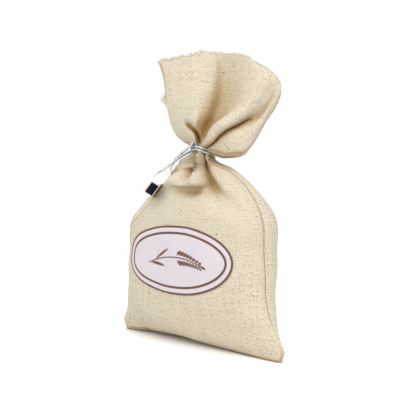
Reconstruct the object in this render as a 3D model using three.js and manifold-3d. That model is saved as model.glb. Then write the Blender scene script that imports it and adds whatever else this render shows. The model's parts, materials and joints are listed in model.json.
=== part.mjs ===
// Lavender sachet: a sewn calico bag of dried lavender, gathered, tied with a silver cord and tagged.
// Millimetres, +Z up, the front faces -Y. The origin is under the neck, on the surface that it stands on.
import * as THREE from 'three';
import { mergeVertices } from 'three/addons/utils/BufferGeometryUtils.js';
import Module from 'manifold-3d';

const wasm = await Module();
wasm.setup();

// Heights
const neckHeight = 83;
const ruffleHeight = 43;

// Body: widths across the side seams, how far the middle lies to the right, and the front and back swell
const baseWidth = 95;
const baseShift = 3.9;
const baseFrontSwell = 4;
const baseBackSwell = 14;
const baseLean = 9;
const cornerFlat = 6;
const hipWidth = 83.5;
const hipShift = 2.2;
const hipFrontSwell = 9.2;
const hipBackSwell = 17.8;
const hipLean = 7.3;
const bellyWidth = 75;
const bellyShift = 1.2;
const bellyFrontSwell = 14;
const bellyBackSwell = 20.8;
const bellyLean = 4.7;
const shoulderWidth = 71.5;
const shoulderShift = 1;
const shoulderFrontSwell = 14;
const shoulderBackSwell = 21;
const shoulderLean = 4;
const collarWidth = 47.8;
const collarShift = 3.5;
const collarFrontSwell = 11.6;
const collarBackSwell = 16;
const collarLean = 2;
const throatWidth = 25;
const throatShift = 1.9;
const throatFrontSwell = 8;
const throatBackSwell = 9.6;
const seamShift = 0.14;

// Gathered neck, and the ruffle above it, a fan that is turned towards the right
const neckDiameter = 8.2;
const neckPleats = 10;
const neckPleatHeight = 0.5;
const ruffleTurn = 25;
const ruffleSwell = 10;

// Gathers of the front below the tie: angle from the left side and its spread in degrees, height over the
// base as a share of the neck's height, spread of the height, and how far the cloth stands out
const gathers = [
  [114, 9, 0.89, 4.2, 4.6],
  [128, 9, 0.86, 6, -4.2],
  [95, 17, 0.855, 2.8, 4],
  [95, 8, 0.89, 2.2, -3.6],
  [112, 20, 0.785, 3, -3.8],
  [134, 11, 0.765, 3.6, -3],
];

// The fan's edges: share of the way to the rim, and degrees from upright at the left and at the right
const fanEdges = [
  [0, -80, 80],
  [0.1, -80, 90],
  [0.2, -75, 107],
  [0.3, -67, 112],
  [0.45, -55, 96],
  [0.6, -44.5, 79],
  [0.8, -34, 67],
  [1, -29, 57],
];

// The rim's reach from the neck: share of the way across the fan, and the front's and the back's share of the
// ruffle's height
const rimReach = [
  [0, 1.02, 1.02],
  [0.04, 1, 0.9],
  [0.1, 0.97, 0.82],
  [0.2, 0.94, 0.83],
  [0.33, 0.925, 0.87],
  [0.5, 0.95, 0.92],
  [0.67, 0.975, 0.945],
  [0.83, 0.99, 0.9],
  [1, 0.94, 0.94],
];

// Folds: share of the way across, and how far the cloth swells near the neck, half way up and at the rim, as
// shares of the ruffle's swell
const frontFolds = [
  [0, 0.8, 0.6, 0.5],
  [0.083, 0.83, 0.58, 0.4],
  [0.167, 0.64, 0.54, 0.33],
  [0.25, 0.52, 0.55, 0.34],
  [0.333, 0.62, 0.55, 0.37],
  [0.417, 0.4, 0.46, 0.28],
  [0.5, -0.35, -0.2, -0.05],
  [0.583, -0.25, -0.3, 0.05],
  [0.667, 0.8, 0.2, 0.4],
  [0.75, 1.1, 0.9, 0.58],
  [0.833, 0.88, 1.1, 0.5],
  [0.917, 1, 0.94, 0.45],
  [1, 0.9, 0.7, 0.5],
];
const backFolds = [
  [0, 0.7, 0.6, 0.5],
  [0.083, 0.75, 0.75, 0.6],
  [0.167, 0.35, 0.36, 0.35],
  [0.25, 0.42, 0.2, 0.28],
  [0.333, 0.58, 0.5, 0.5],
  [0.417, 0.58, 0.55, 0.55],
  [0.5, 0.5, 0.4, 0.4],
  [0.583, 0.52, 0.38, 0.34],
  [0.667, 0.52, 0.5, 0.5],
  [0.75, 0.52, 0.55, 0.58],
  [0.833, 0.5, 0.55, 0.6],
  [0.917, 0.45, 0.54, 0.62],
  [1, 0.6, 0.5, 0.5],
];

// Cloth, sewing thread and filling
const clothThickness = 0.8;
const seamGap = 0.3;
const threadDiameter = 0.5;
const threadClearance = 0.5;
const fillingTop = 74;
const fillingSettle = 1.6;

// Oval label
const labelWidth = 60;
const labelHeight = 29;
const labelThickness = 0.3;
const labelCentreX = 0.4;
const labelCentreZ = 36.5;

// Silver cord
const cordDiameter = 1.2;
const cordTurns = 2;
const turnGap = 0.6;
const knotLength = 5.6;
const knotWidth = 3.4;
const knotDepth = 3;

// Folded card tag, lying on the front left shoulder
const tagLength = 16.5;
const tagWidth = 13;
const tagThickness = 0.4;
const tagCorner = 1;
const tagHoleDiameter = 3;
const tagHoleInset = 2.6;
const coverLength = 11;
const coverOpening = 14;
const tagHeading = 226;
const tagSlope = 54;
const tagHoleDrop = 13.5;

// Clearance between pieces that touch
const clearance = 0.3;

// Facets
const panelColumns = 30;
const panelRows = 32;

// Roundness of the sections: 2 is an ellipse, less is pointed at the seams, more is boxy
const basePower = 1.7;
const bellyPower = 2.8;
const neckPower = 2;

const cloth = new THREE.MeshStandardMaterial({ color: 0xe4dac2, roughness: 0.95, metalness: 0 });
const thread = new THREE.MeshStandardMaterial({ color: 0xe9e2cf, roughness: 0.8, metalness: 0 });
const lavender = new THREE.MeshStandardMaterial({ color: 0x7c7396, roughness: 1, metalness: 0 });
const paper = new THREE.MeshStandardMaterial({ color: 0xe8e0e4, roughness: 0.6, metalness: 0 });
const silver = new THREE.MeshStandardMaterial({ color: 0xc9c9c6, roughness: 0.35, metalness: 0.9 });
const card = new THREE.MeshStandardMaterial({ color: 0xf2efe8, roughness: 0.7, metalness: 0 });

// The gathered neck is as tall as the winding that holds it
const turnPitch = cordDiameter + turnGap;
const windingHeight = cordTurns * turnPitch;
const neckBand = windingHeight + cordDiameter + 2 * clearance;

// Sections of the bag from the base to the rim: width, swells, the middle's shift to the right and its lean
const station = (height, width, front, back, shift, lean, power) => [
  height,
  width / 2,
  front,
  back,
  shift,
  -lean,
  power,
];
const neckRadius = neckDiameter / 2;
const hipPower = (basePower + bellyPower) / 2;
const collarPower = (bellyPower + neckPower) / 2;
const neckTop = neckHeight + neckBand / 2;
const rimTop = neckHeight + ruffleHeight;

const stations = [
  station(0, baseWidth, baseFrontSwell, baseBackSwell, baseShift, baseLean, basePower),
  station(0.15 * neckHeight, hipWidth, hipFrontSwell, hipBackSwell, hipShift, hipLean, hipPower),
  station(0.43 * neckHeight, bellyWidth, bellyFrontSwell, bellyBackSwell, bellyShift, bellyLean, bellyPower),
  station(
    0.65 * neckHeight,
    shoulderWidth,
    shoulderFrontSwell,
    shoulderBackSwell,
    shoulderShift,
    shoulderLean,
    bellyPower,
  ),
  station(
    0.8 * neckHeight,
    collarWidth,
    collarFrontSwell,
    collarBackSwell,
    collarShift,
    collarLean,
    collarPower,
  ),
  station(0.91 * neckHeight, throatWidth, throatFrontSwell, throatBackSwell, throatShift, 0, neckPower),
  station(neckHeight - neckBand / 2, neckDiameter, neckRadius, neckRadius, 0, 0, neckPower),
  station(neckTop, neckDiameter, neckRadius, neckRadius, 0, 0, neckPower),
];
const profile = new THREE.CubicInterpolant(
  stations.map((s) => s[0]),
  stations.flatMap((s) => s.slice(1)),
  6,
);

function sectionAt(height) {
  const [half, front, back, shift, lean, power] = profile.evaluate(height);
  return { half, front, back, shift, lean, power };
}

// A bump that is 1 at the neck and fades both ways
const neckNearness = (height) => Math.exp(-(((height - neckHeight) / (3 * neckBand)) ** 2));

// Half-way up the body the side seams lie in front of the widest line; at the base and neck they lie on it
function seamAngle(height) {
  const share = THREE.MathUtils.clamp(height / neckHeight, 0, 1);
  return seamShift * Math.sin(Math.PI * share);
}

// Many small pleats stand out from the section at the neck
const pleatHeight = (angle, height) => neckPleatHeight * neckNearness(height) * Math.cos(neckPleats * angle);

// The larger gathers below it are sums of bumps, hollows where they are negative
const bump = (value, middle, spread) => Math.exp(-(((value - middle) / spread) ** 2));

function gatherHeight(angle, height) {
  const turn = THREE.MathUtils.radToDeg(angle);
  return gathers.reduce(
    (sum, [at, spread, share, rise, swell]) =>
      sum + swell * bump(turn, at, spread) * bump(height, share * neckHeight, rise),
    0,
  );
}

// A point of the cloth's outer face: angle 0 is the left side, a quarter turn the front, half the right
const soften = (value, power) => Math.sign(value) * Math.abs(value) ** (2 / power);

function sectionPoint(angle, height) {
  const section = sectionAt(height);
  const swell = Math.sin(angle) > 0 ? section.front : section.back;
  return new THREE.Vector2(
    section.shift - section.half * soften(Math.cos(angle), section.power),
    section.lean - swell * soften(Math.sin(angle), section.power),
  );
}

function sectionNormal(angle, height) {
  const step = 0.02;
  const along = sectionPoint(angle + step, height).sub(sectionPoint(angle - step, height));
  return new THREE.Vector2(along.y, -along.x).normalize();
}

// Smooth curves through the fan's tables
function tableCurve(rows) {
  const values = rows.flatMap((row) => row.slice(1));
  return new THREE.CubicInterpolant(rows.map((row) => row[0]), values, rows[0].length - 1);
}

const edgeCurve = tableCurve(fanEdges);
const reachCurve = tableCurve(rimReach);
const frontCurve = tableCurve(frontFolds);
const backCurve = tableCurve(backFolds);

// How far the ruffle stands out: it grows from the neck, then goes from level to level
const nearLevel = 0.3;
const middleLevel = 0.6;

function ruffleDepth(curve, across, share) {
  const [near, middle, rim] = curve.evaluate(across);
  const grown = Math.min(share / nearLevel, 1) ** 0.8;
  if (share < middleLevel) {
    const rise = THREE.MathUtils.clamp((share - nearLevel) / (middleLevel - nearLevel), 0, 1);
    return ruffleSwell * grown * THREE.MathUtils.lerp(near, middle, rise);
  }
  return ruffleSwell * THREE.MathUtils.lerp(middle, rim, (share - middleLevel) / (1 - middleLevel));
}

// A point of the fan's outer face. Its threads run out from the neck, whose ring fades on the way to the rim
const axis = new THREE.Vector2(0, 0);
const fanTurn = THREE.MathUtils.degToRad(ruffleTurn);

function fanPoint(angle, share) {
  const across = (1 - Math.cos(angle)) / 2;
  const [left, right] = edgeCurve.evaluate(share);
  const lean = THREE.MathUtils.degToRad(THREE.MathUtils.lerp(left, right, across));
  const isFront = Math.sin(angle) > 0;
  const length = share * ruffleHeight * reachCurve.evaluate(across)[isFront ? 0 : 1];
  const curve = isFront ? frontCurve : backCurve;
  const ring = neckRadius * (1 - share) ** 2;
  const flat = new THREE.Vector2(
    length * Math.sin(lean) - ring * Math.cos(angle),
    -(ruffleDepth(curve, across, share) + ring) * Math.sin(angle),
  );
  flat.rotateAround(axis, fanTurn * THREE.MathUtils.smoothstep(share, 0, middleLevel));
  return new THREE.Vector3(flat.x, flat.y, neckTop + length * Math.cos(lean));
}

function rufflePoint(angle, share, inset) {
  const step = 0.01;
  const around = fanPoint(angle + step, share).sub(fanPoint(angle - step, share));
  const along = fanPoint(angle, Math.min(share + step, 1)).sub(fanPoint(angle, Math.max(share - step, 0)));
  return fanPoint(angle, share).addScaledVector(around.cross(along).normalize(), -inset);
}

// A point of the cloth, as far in from its outer face as is asked
function clothPoint(angle, height, inset) {
  const share = (height - neckTop) / (rimTop - neckTop);
  if (share > 0) return rufflePoint(angle, Math.min(share, 1), inset);
  const flat = sectionPoint(angle, height);
  const lift = pleatHeight(angle, height) + gatherHeight(angle, height);
  flat.addScaledVector(sectionNormal(angle, height), lift - inset);
  return new THREE.Vector3(flat.x, flat.y, height);
}

// A closed solid between two grids of points, the outer and the inner face of a sheet
function sheetSolid(columns, rows, outerPoint, innerPoint) {
  const positions = [];
  for (const face of [outerPoint, innerPoint]) {
    for (let row = 0; row <= rows; row += 1) {
      for (let column = 0; column <= columns; column += 1) {
        positions.push(...face(column / columns, row / rows).toArray());
      }
    }
  }
  const layer = (columns + 1) * (rows + 1);
  const at = (column, row, inner) => row * (columns + 1) + column + inner * layer;
  const index = [];
  const quad = (a, b, c, d) => index.push(a, b, c, a, c, d);
  for (let row = 0; row < rows; row += 1) {
    for (let column = 0; column < columns; column += 1) {
      quad(at(column, row, 0), at(column + 1, row, 0), at(column + 1, row + 1, 0), at(column, row + 1, 0));
      quad(at(column, row, 1), at(column, row + 1, 1), at(column + 1, row + 1, 1), at(column + 1, row, 1));
    }
    quad(at(0, row, 0), at(0, row + 1, 0), at(0, row + 1, 1), at(0, row, 1));
    quad(at(columns, row + 1, 0), at(columns, row, 0), at(columns, row, 1), at(columns, row + 1, 1));
  }
  for (let column = 0; column < columns; column += 1) {
    quad(at(column + 1, 0, 0), at(column, 0, 0), at(column, 0, 1), at(column + 1, 0, 1));
    quad(at(column, rows, 0), at(column + 1, rows, 0), at(column + 1, rows, 1), at(column, rows, 1));
  }
  const geometry = new THREE.BufferGeometry();
  geometry.setAttribute('position', new THREE.Float32BufferAttribute(positions, 3));
  geometry.setIndex(index);
  return geometry;
}

// A round tube along a smooth curve through points
function tubeAlong(points, diameter, sides, steps) {
  const ring = Array.from({ length: sides }, (_, side) => {
    const turn = (2 * Math.PI * side) / sides;
    return new THREE.Vector2(Math.cos(turn), Math.sin(turn)).multiplyScalar(diameter / 2);
  });
  const path = new THREE.CatmullRomCurve3(points, false, 'centripetal');
  return new THREE.ExtrudeGeometry(new THREE.Shape(ring), { steps, extrudePath: path });
}

// Solids for cutting and joining, and back to a geometry
function toSolid(geometry) {
  const bare = geometry.clone();
  bare.deleteAttribute('normal');
  bare.deleteAttribute('uv');
  const merged = mergeVertices(bare, 1e-4);
  return new wasm.Manifold(
    new wasm.Mesh({
      numProp: 3,
      vertProperties: new Float32Array(merged.attributes.position.array),
      triVerts: new Uint32Array(merged.index.array),
    }),
  );
}

function toGeometry(solid) {
  const mesh = solid.getMesh();
  const geometry = new THREE.BufferGeometry();
  geometry.setAttribute('position', new THREE.Float32BufferAttribute(mesh.vertProperties, 3));
  geometry.setIndex(Array.from(mesh.triVerts));
  return geometry;
}

// Rows crowd below the neck, where the gathers lie
const gathersLow = 0.68 * neckHeight;
const rowCurve = new THREE.LinearInterpolant([0, 0.28, 0.66, 1], [0, gathersLow, neckTop, rimTop], 1);
const rowAt = (share) => rowCurve.evaluate(share)[0];

// Front panel: from the left side seam round the front to the right side seam
function frontPanel() {
  const face = (inset) => (across, up) => {
    const height = rowAt(up);
    const edge = seamAngle(height);
    const point = clothPoint(edge + across * (Math.PI - 2 * edge), height, inset);
    point.y -= seamGap / 2;
    return point;
  };
  return sheetSolid(panelColumns, panelRows, face(0), face(clothThickness));
}

// Floor of the bag: the back panel's turned-under part, behind the bottom seam
function floorShape() {
  const outline = [];
  const points = 48;
  for (let i = 0; i < points; i += 1) {
    const angle = (2 * Math.PI * i) / points;
    if (Math.sin(angle) > 0) {
      const half = baseWidth / 2 - cornerFlat;
      const swell = baseFrontSwell - clothThickness - seamGap;
      outline.push(
        new THREE.Vector2(
          baseShift - half * soften(Math.cos(angle), basePower),
          -baseLean - swell * soften(Math.sin(angle), basePower),
        ),
      );
    } else {
      const reach = baseWidth / 2 - clothThickness - seamGap;
      const point = sectionPoint(angle, 0).addScaledVector(sectionNormal(angle, 0), -clothThickness / 2);
      outline.push(point.setX(THREE.MathUtils.clamp(point.x, baseShift - reach, baseShift + reach)));
    }
    outline[i].y += seamGap / 2;
  }
  return new THREE.Shape(outline);
}

// Back panel: from the right side seam round the back to the left, with the floor joined to it
function backPanel() {
  const face = (inset) => (across, up) => {
    const height = rowAt(up);
    const edge = seamAngle(height);
    const point = clothPoint(Math.PI - edge + across * (Math.PI + 2 * edge), height, inset);
    point.y += seamGap / 2;
    return point;
  };
  const wall = sheetSolid(panelColumns, panelRows, face(0), face(clothThickness));
  const floor = new THREE.ExtrudeGeometry(floorShape(), { depth: clothThickness, bevelEnabled: false });
  return toGeometry(toSolid(wall).add(toSolid(floor)));
}

// Sewing thread of a side seam, inside the bag where the two panels meet, square off the cloth's slope
const threadInset = threadClearance + threadDiameter / 2;
const threadFloor = clothThickness + threadClearance + threadDiameter;

function sideSeamRoute(isRight) {
  const points = 40;
  const turn = (height) => (isRight ? Math.PI - seamAngle(height) : seamAngle(height));
  const inside = (height) => clothPoint(turn(height), height, clothThickness);
  return Array.from({ length: points }, (_, i) => {
    const height = THREE.MathUtils.lerp(threadFloor + clearance, rimTop - clearance, i / (points - 1));
    const along = inside(height + 0.2).sub(inside(height - 0.2));
    const inward = new THREE.Vector3(along.z, 0, -along.x).multiplyScalar(isRight ? -1 : 1).normalize();
    return inside(height).addScaledVector(inward, threadInset);
  });
}

function bottomSeamRoute() {
  const points = 14;
  const endAngle = 0.5;
  return Array.from({ length: points }, (_, i) => {
    const angle = THREE.MathUtils.lerp(endAngle, Math.PI - endAngle, i / (points - 1));
    const point = clothPoint(angle, 0, clothThickness + threadInset);
    point.z = threadFloor - threadDiameter / 2;
    return point;
  });
}

const seamThread = (route) => tubeAlong(route, threadDiameter, 5, route.length + 4);
const seamGroove = (route) => toSolid(tubeAlong(route, threadDiameter + 2 * clearance, 6, route.length + 4));

// Filling: the lavender, closed below by the floor, settled away from the gathers and rounded off above
function lavenderFilling() {
  const columns = 26;
  const rows = 11;
  const floor = clothThickness + clearance;
  const positions = [];
  for (let row = 0; row <= rows; row += 1) {
    const height = THREE.MathUtils.lerp(floor, fillingTop, row / rows);
    const section = sectionAt(height);
    const rounding = Math.sqrt(1 - Math.max(0, (row - rows + 4) / 4.4) ** 2);
    const settled = fillingSettle * THREE.MathUtils.smoothstep(height, neckHeight / 2, gathersLow);
    const inset = clothThickness + clearance + settled;
    for (let column = 0; column < columns; column += 1) {
      const point = clothPoint((2 * Math.PI * column) / columns, height, inset);
      point.x = section.shift + (point.x - section.shift) * rounding;
      point.y = section.lean + (point.y - section.lean) * rounding;
      positions.push(point.x, point.y, height);
    }
  }
  const bottom = positions.length / 3;
  positions.push(0, sectionAt(floor).lean, floor);
  positions.push(0, sectionAt(fillingTop).lean, fillingTop);
  const index = [];
  for (let column = 0; column < columns; column += 1) {
    const next = (column + 1) % columns;
    for (let row = 0; row < rows; row += 1) {
      const low = row * columns;
      const high = low + columns;
      index.push(low + column, low + next, high + next, low + column, high + next, high + column);
    }
    index.push(bottom, next, column);
    index.push(bottom + 1, rows * columns + column, rows * columns + next);
  }
  const heap = new THREE.BufferGeometry();
  heap.setAttribute('position', new THREE.Float32BufferAttribute(positions, 3));
  heap.setIndex(index);
  const routes = [sideSeamRoute(false), sideSeamRoute(true), bottomSeamRoute()];
  return toGeometry(routes.reduce((left, route) => left.subtract(seamGroove(route)), toSolid(heap)));
}

// Oval label: a thin sheet that follows the front panel
function frontSurface(x, height, lift) {
  const depth = (px, pz) => {
    const section = sectionAt(pz);
    const cosine = Math.min(1, (Math.abs(section.shift - px) / section.half) ** (section.power / 2));
    return section.lean - section.front * soften(Math.sqrt(1 - cosine * cosine), section.power) - seamGap / 2;
  };
  const step = 0.2;
  const slopeX = (depth(x + step, height) - depth(x - step, height)) / (2 * step);
  const slopeZ = (depth(x, height + step) - depth(x, height - step)) / (2 * step);
  const normal = new THREE.Vector3(slopeX, -1, slopeZ).normalize();
  return new THREE.Vector3(x, depth(x, height), height).addScaledVector(normal, lift);
}

function ovalLabel() {
  const around = 44;
  const rings = 7;
  const positions = [];
  for (const lift of [clearance + labelThickness, clearance]) {
    positions.push(...frontSurface(labelCentreX, labelCentreZ, lift).toArray());
    for (let ring = 1; ring <= rings; ring += 1) {
      for (let i = 0; i < around; i += 1) {
        const angle = (2 * Math.PI * i) / around;
        const x = labelCentreX + (ring / rings) * (labelWidth / 2) * Math.cos(angle);
        const z = labelCentreZ + (ring / rings) * (labelHeight / 2) * Math.sin(angle);
        positions.push(...frontSurface(x, z, lift).toArray());
      }
    }
  }
  const layer = 1 + rings * around;
  const at = (ring, i, inner) => inner * layer + (ring === 0 ? 0 : 1 + (ring - 1) * around + (i % around));
  const index = [];
  for (let i = 0; i < around; i += 1) {
    index.push(at(0, 0, 0), at(1, i, 0), at(1, i + 1, 0));
    index.push(at(0, 0, 1), at(1, i + 1, 1), at(1, i, 1));
    for (let ring = 1; ring < rings; ring += 1) {
      index.push(at(ring, i, 0), at(ring + 1, i, 0), at(ring + 1, i + 1, 0));
      index.push(at(ring, i, 0), at(ring + 1, i + 1, 0), at(ring, i + 1, 0));
      index.push(at(ring, i, 1), at(ring + 1, i + 1, 1), at(ring + 1, i, 1));
      index.push(at(ring, i, 1), at(ring, i + 1, 1), at(ring + 1, i + 1, 1));
    }
    index.push(at(rings, i, 0), at(rings, i, 1), at(rings, i + 1, 1));
    index.push(at(rings, i, 0), at(rings, i + 1, 1), at(rings, i + 1, 0));
  }
  const geometry = new THREE.BufferGeometry();
  geometry.setAttribute('position', new THREE.Float32BufferAttribute(positions, 3));
  geometry.setIndex(index);
  return geometry;
}

// The knot's heading, as the turn about +Z from +X, is also the tag's
const heading = THREE.MathUtils.degToRad(tagHeading);
const outward = new THREE.Vector3(Math.cos(heading), Math.sin(heading), 0);
const polar = (radius, turn, height) =>
  new THREE.Vector3(radius * Math.cos(heading + turn), radius * Math.sin(heading + turn), height);

// Winding: its turns hug the widest place of the neck that they cover
const windingLow = neckHeight - windingHeight / 2;
const windingHigh = neckHeight + windingHeight / 2;

function neckReach() {
  let reach = 0;
  for (let row = 0; row <= 8; row += 1) {
    const height = neckHeight + (row / 8 - 0.5) * (windingHeight + cordDiameter);
    for (let i = 0; i < 72; i += 1) {
      const point = clothPoint((2 * Math.PI * i) / 72, height, 0);
      reach = Math.max(reach, Math.hypot(point.x, point.y) + seamGap / 2);
    }
  }
  return reach;
}

const windingRadius = neckReach() + clearance + cordDiameter / 2;

// The knot stands off far enough for the winding's ends to run straight into its inner face
const endShare = windingHeight / knotLength;
const depthAtEnds = (knotDepth / 2) * Math.sqrt(Math.max(0, 1 - endShare * endShare));
const bendRise = cordDiameter / 2;
const knotReach = windingRadius + bendRise + cordDiameter + clearance + depthAtEnds;
const knotCentre = polar(knotReach, 0, neckHeight);

function knotFace(height) {
  return knotCentre.clone().addScaledVector(outward, -depthAtEnds - clearance).setZ(height);
}

function windingRoute() {
  const perTurn = 24;
  const bend = 0.3;
  const count = cordTurns * perTurn;
  const start = knotFace(windingLow);
  const end = knotFace(windingHigh);
  const leg = (tip) => tip.clone().addScaledVector(outward, -cordDiameter);
  const turns = Array.from({ length: count + 1 }, (_, i) => {
    const turn = THREE.MathUtils.lerp(bend, 2 * Math.PI * cordTurns - bend, i / count);
    return polar(windingRadius, turn, THREE.MathUtils.lerp(windingLow, windingHigh, i / count));
  });
  return [start, leg(start), ...turns, leg(end), end];
}

// Least gap of a wound tube to itself, measured on its centre line
function leastGap(route, diameter) {
  const path = new THREE.CatmullRomCurve3(route, false, 'centripetal');
  const points = path.getSpacedPoints(300);
  const apart = Math.ceil((4 * diameter) / (path.getLength() / 300));
  let least = Infinity;
  for (let i = 0; i < points.length; i += 1) {
    for (let j = i + apart; j < points.length; j += 1) {
      least = Math.min(least, points[i].distanceTo(points[j]));
    }
  }
  return least - diameter;
}

function neckKnot() {
  const knot = new THREE.SphereGeometry(0.5, 16, 10);
  knot.scale(knotDepth, knotWidth, knotLength);
  return knot;
}

// Tag frame: down its length, across its width towards the right, and out from the shoulder
const slope = THREE.MathUtils.degToRad(tagSlope);
const tagDown = outward.clone().multiplyScalar(Math.cos(slope)).setZ(-Math.sin(slope));
const tagAcross = new THREE.Vector3(-outward.y, outward.x, 0);
const tagOut = new THREE.Vector3().crossVectors(tagDown, tagAcross);

// The tag is lifted off the shoulder until its back clears every point of the cloth under it
function tagSeat() {
  const onAxis = outward.clone().multiplyScalar(neckDiameter).setZ(neckHeight - tagHoleDrop);
  let highest = -Infinity;
  for (let row = 0; row <= 80; row += 1) {
    for (let i = 0; i < 160; i += 1) {
      const height = THREE.MathUtils.lerp(neckHeight / 2, neckHeight - neckBand, row / 80);
      const offset = clothPoint((2 * Math.PI * i) / 160, height, -seamGap / 2).sub(onAxis);
      const down = offset.dot(tagDown);
      const isBeside = Math.abs(offset.dot(tagAcross)) > tagWidth / 2;
      const isUnder = down > -tagHoleInset && down < tagLength && !isBeside;
      if (isUnder) highest = Math.max(highest, offset.dot(tagOut));
    }
  }
  return onAxis.addScaledVector(tagOut, highest + clearance + tagThickness / 2);
}

const tagHole = tagSeat();

// A card leaf from its top edge down, square along the fold and rounded at the two free corners
function cardLeaf(length, top) {
  const shape = new THREE.Shape();
  const side = tagWidth / 2;
  shape.moveTo(top, -side);
  shape.lineTo(top + length, -side);
  shape.lineTo(top + length, side - tagCorner);
  shape.absarc(top + length - tagCorner, side - tagCorner, tagCorner, 0, Math.PI / 2, false);
  shape.lineTo(top + tagCorner, side);
  shape.absarc(top + tagCorner, side - tagCorner, tagCorner, Math.PI / 2, Math.PI, false);
  return shape;
}

const cardDepth = { depth: tagThickness, bevelEnabled: false, curveSegments: 8 };

function tagBackLeaf() {
  const shape = cardLeaf(tagLength, -tagHoleInset);
  shape.holes.push(new THREE.Path().absarc(0, 0, tagHoleDiameter / 2, 0, 2 * Math.PI, true));
  return new THREE.ExtrudeGeometry(shape, cardDepth).translate(0, 0, -tagThickness / 2);
}

// The cover leaf's fold line is the long edge towards the left, just above the back leaf
const foldLine = new THREE.Vector3(0, -tagWidth / 2, tagThickness / 2 + clearance);

function tagCoverLeaf() {
  const top = tagLength - tagHoleInset - coverLength;
  const shape = cardLeaf(coverLength, top);
  return new THREE.ExtrudeGeometry(shape, cardDepth).translate(0, tagWidth / 2, 0);
}

// Tails of the cord: points given from the tag's hole, down the tag, across it and out from it
function fromHole(down, across, out) {
  return tagHole
    .clone()
    .addScaledVector(tagDown, down)
    .addScaledVector(tagAcross, across)
    .addScaledVector(tagOut, out);
}

function tailRoute(side, points) {
  const across = side * (cordDiameter / 2 + clearance / 2);
  const root = knotCentre.clone().addScaledVector(outward, knotDepth / 2 + clearance);
  root.addScaledVector(tagAcross, across);
  const out = root.clone().addScaledVector(outward, cordDiameter);
  return [root, out, ...points.map(([down, shift, lift]) => fromHole(down, across + shift, lift))];
}

const upperTailRoute = tailRoute(1, [
  [-5, 2.6, 3],
  [-1.5, 6, 2.8],
  [3.6, 8, 2.4],
]);
const lowerTailRoute = tailRoute(-1, [
  [-3.6, 0.3, 3],
  [-1.2, 0.75, 1.4],
  [0, 0.75, 0],
  [0.5, 0.75, -0.6],
]);

const group = new THREE.Group();

function addPiece(name, geometry, material, parent = group) {
  const mesh = new THREE.Mesh(geometry, material);
  mesh.name = name;
  parent.add(mesh);
  return mesh;
}

addPiece('front_panel', frontPanel(), cloth);
addPiece('back_panel', backPanel(), cloth);
addPiece('left_seam_thread', seamThread(sideSeamRoute(false)), thread);
addPiece('right_seam_thread', seamThread(sideSeamRoute(true)), thread);
addPiece('bottom_seam_thread', seamThread(bottomSeamRoute()), thread);
addPiece('lavender_filling', lavenderFilling(), lavender);
addPiece('oval_label', ovalLabel(), paper);

const route = windingRoute();
console.log('neck_winding least gap to itself', leastGap(route, cordDiameter).toFixed(2), 'mm');
addPiece('neck_winding', tubeAlong(route, cordDiameter, 6, 24 * cordTurns + 8), silver);
const knot = addPiece('neck_knot', neckKnot(), silver);
knot.position.copy(knotCentre);
knot.rotation.z = heading;
addPiece('upper_tail', tubeAlong(upperTailRoute, cordDiameter, 8, 10), silver);
addPiece('lower_tail', tubeAlong(lowerTailRoute, cordDiameter, 8, 12), silver);

const tag = new THREE.Group();
tag.position.copy(tagHole);
tag.quaternion.setFromRotationMatrix(new THREE.Matrix4().makeBasis(tagDown, tagAcross, tagOut));
addPiece('tag_back_leaf', tagBackLeaf(), card, tag);
const fold = new THREE.Group();
fold.position.copy(foldLine);
fold.rotation.x = THREE.MathUtils.degToRad(coverOpening);
addPiece('tag_cover_leaf', tagCoverLeaf(), card, fold);
tag.add(fold);
group.add(tag);

export default group;
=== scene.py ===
"""Lavender sachet: the looks of a gathered calico bag, its silver tie, folded tag and oval label.

Sizes are millimetres in the fields of the classes, and metres in the meshes.
"""

import json
import logging
import math
from dataclasses import dataclass, field
from enum import Enum

import bpy
import numpy as np
from bpy.types import Material, Node, NodeSocket, NodeTree, Object
from numpy import ndarray as Array
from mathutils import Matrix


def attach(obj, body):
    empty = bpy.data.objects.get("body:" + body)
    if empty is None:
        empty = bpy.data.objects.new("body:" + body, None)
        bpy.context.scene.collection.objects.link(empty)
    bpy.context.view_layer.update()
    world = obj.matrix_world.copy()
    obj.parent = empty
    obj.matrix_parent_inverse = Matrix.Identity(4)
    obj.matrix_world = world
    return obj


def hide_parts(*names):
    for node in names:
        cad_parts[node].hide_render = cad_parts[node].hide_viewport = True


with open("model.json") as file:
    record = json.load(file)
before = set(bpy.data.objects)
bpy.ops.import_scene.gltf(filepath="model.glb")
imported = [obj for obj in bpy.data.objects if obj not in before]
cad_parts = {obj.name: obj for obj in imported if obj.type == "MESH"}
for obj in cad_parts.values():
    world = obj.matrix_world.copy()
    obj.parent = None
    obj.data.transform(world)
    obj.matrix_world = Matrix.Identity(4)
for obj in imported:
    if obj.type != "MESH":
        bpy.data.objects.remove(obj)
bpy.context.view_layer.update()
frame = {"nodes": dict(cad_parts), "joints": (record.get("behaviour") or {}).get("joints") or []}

LOG = logging.getLogger("sachet")
MM = 0.001
BAG_BODY = "bag"
VIEW_HEADING = 44.0
WHITE = (1.0, 1.0, 1.0, 1.0)


def linear(code: str) -> tuple[float, float, float, float]:
    """Turns an sRGB hex colour into linear RGBA.

    Args:
        code: six hex digits, such as "e6dac0".

    Returns:
        The linear red, green and blue, and alpha 1.
    """
    parts = np.array([int(code[k:k + 2], 16) / 255 for k in (0, 2, 4)])
    red, green, blue = np.where(parts <= 0.04045, parts / 12.92, ((parts + 0.055) / 1.055) ** 2.4).tolist()
    return (red, green, blue, 1.0)


def feed(made: Node, inputs: dict) -> None:
    """Fills or links a node's inputs.

    Args:
        made: the node.
        inputs: what each input takes, by name or number: a constant, a socket, or a node for the first output
            that is in use.
    """
    for key, value in inputs.items():
        source = next(out for out in value.outputs if out.enabled) if isinstance(value, Node) else value
        if isinstance(source, NodeSocket):
            made.id_data.links.new(source, made.inputs[key])
        else:
            made.inputs[key].default_value = source


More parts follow.
